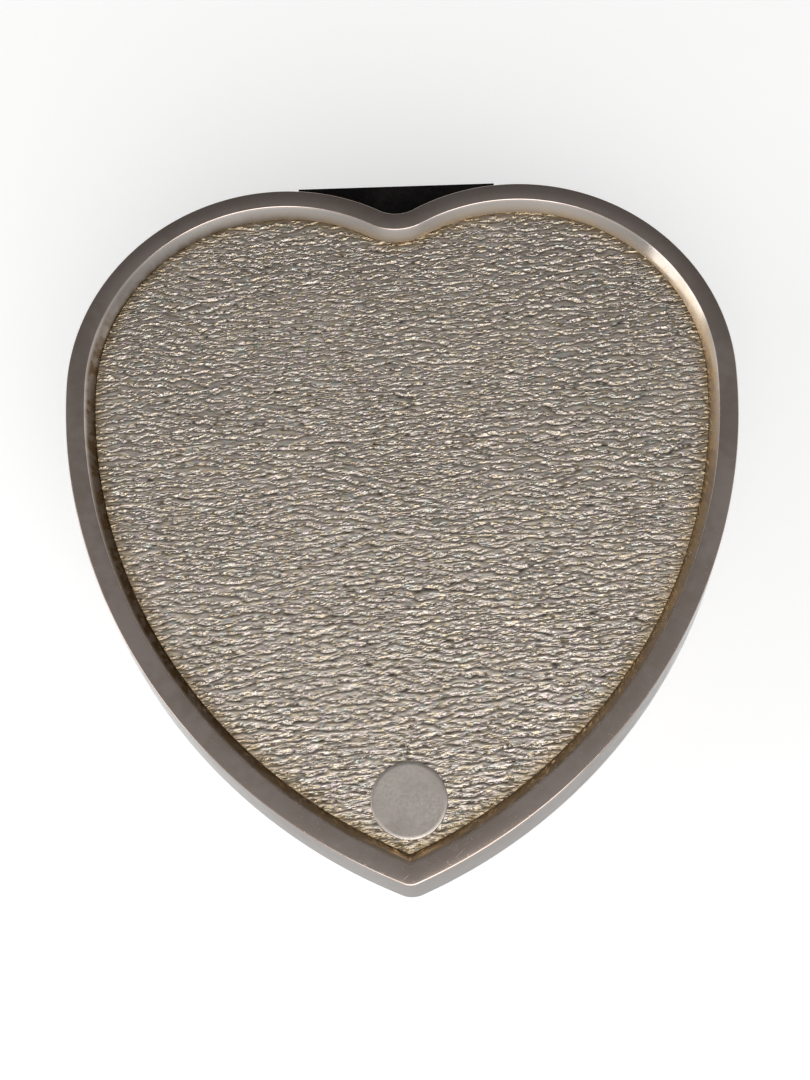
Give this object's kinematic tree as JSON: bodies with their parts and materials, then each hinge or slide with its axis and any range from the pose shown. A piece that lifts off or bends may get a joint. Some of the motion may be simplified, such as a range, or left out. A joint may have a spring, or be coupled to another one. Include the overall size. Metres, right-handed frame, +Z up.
{
  "type": "wind up music box",
  "caption": "Heart-shaped silver-plated trinket box with a bark-textured hinged lid, velvet well and a wind-up musical movement keyed from below.",
  "frame": {"origin": "middle of the footprint, on the underside of the felt ring that the box stands on", "axes": "+Z up out of the lid, +Y towards the hinge in the cleft, -Y towards the tip of the heart, +X to the right seen from the tip"},
  "size_m": [0.1028, 0.1106, 0.0449],
  "materials": {
    "silver_plate": "polished silver plate, fine scratches",
    "bark_plate": "bark-textured silver plate, warm tone",
    "initial_silver": "satin silver, finely scratched",
    "black_hinge": "black lacquer",
    "velvet": "burgundy velvet",
    "felt": "charcoal felt",
    "clear_sheet": "clear acrylic sheet",
    "zinc": "die-cast zinc, satin",
    "plated_plate": "plated sheet, satin",
    "steel": "ground steel",
    "screw_steel": "nickel-plated steel",
    "brass": "turned brass",
    "key_plate": "pressed and plated key",
    "fly_plastic": "moulded white"
  },
  "bodies": {
    "base": {"base_body": "silver_plate", "plate_ring": "plated_plate", "tray_ring": "plated_plate", "felt_ring": "felt", "bottom_plate": "plated_plate", "bottom_plate_screws": "screw_steel", "base_hinge_leaf": "black_hinge", "base_hinge_screws": "screw_steel", "hinge_pin": "steel", "tray_deck": "velvet", "trinket_well": "velvet", "movement_cover": "clear_sheet", "movement_bedplate": "zinc", "movement_screws": "screw_steel", "comb": "steel", "comb_screws": "screw_steel", "spring_housing": "brass", "housing_cap": "brass", "mainspring": "steel", "housing_bridge": "zinc", "bridge_posts": "steel", "bridge_screws": "screw_steel", "arbor_bearing": "steel", "bearing_screws": "screw_steel", "governor_frame": "zinc", "governor_screws": "screw_steel", "stop_bracket": "steel", "stop_bracket_screw": "screw_steel", "stop_pivot": "steel"},
    "lid": {"lid_shell": "silver_plate", "lid_panel": "bark_plate", "initial_disc": "initial_silver", "lid_plate": "plated_plate", "lid_lining": "velvet", "lid_hinge_leaf": "black_hinge", "lid_hinge_screws": "screw_steel"},
    "key": {"winding_key": "key_plate", "winding_arbor": "steel", "arbor_collar": "steel"},
    "drive_wheel": {"drive_gear": "brass"},
    "pin_barrel": {"cylinder": "brass", "cylinder_pins": "steel", "cylinder_arbor": "steel", "cylinder_pinion": "brass", "cylinder_gear": "brass"},
    "governor": {"governor_arbor": "steel", "governor_wheel": "brass"},
    "fly": {"governor_worm": "steel", "air_fly": "fly_plastic"},
    "stop": {"stop_lever": "steel"}
  },
  "joints": [
    {"name": "lid_hinge", "type": "hinge", "parent": "base", "child": "lid", "pos_m": [0, 0.05335, 0.03274], "axis": [-1, 0, 0], "range_deg": [0, 95]},
    {"name": "stop_rock", "type": "hinge", "parent": "base", "child": "stop", "pos_m": [0.0342, 0.03269, 0.0163], "axis": [0, 1, 0], "range_deg": [0, 8.2]},
    {"name": "key_wind", "type": "hinge", "parent": "base", "child": "key", "pos_m": [-0.01454, 0.01935, 0.01], "axis": [0, 0, 1], "continuous": true},
    {"name": "fly_spin", "type": "hinge", "parent": "base", "child": "fly", "pos_m": [0.0218, 0.03269, 0.025], "axis": [0, 0, 1], "continuous": true},
    {"name": "governor_spin", "type": "hinge", "parent": "base", "child": "governor", "pos_m": [0.0218, 0.02799, 0.01989], "axis": [1, 0, 0], "continuous": true},
    {"name": "barrel_spin", "type": "hinge", "parent": "base", "child": "pin_barrel", "pos_m": [0.0075, 0.01935, 0.01989], "axis": [1, 0, 0], "continuous": true},
    {"name": "drive_spin", "type": "hinge", "parent": "base", "child": "drive_wheel", "pos_m": [-0.01454, 0.01935, 0.0155], "axis": [0, 0, 1], "continuous": true}
  ],
  "couplings": [
    {"joint": "stop_rock", "follows": "lid_hinge", "ratio": 0.084211},
    {"joint": "drive_spin", "follows": "barrel_spin", "ratio": 0.33333},
    {"joint": "governor_spin", "follows": "barrel_spin", "ratio": -5},
    {"joint": "fly_spin", "follows": "barrel_spin", "ratio": 60}
  ]
}
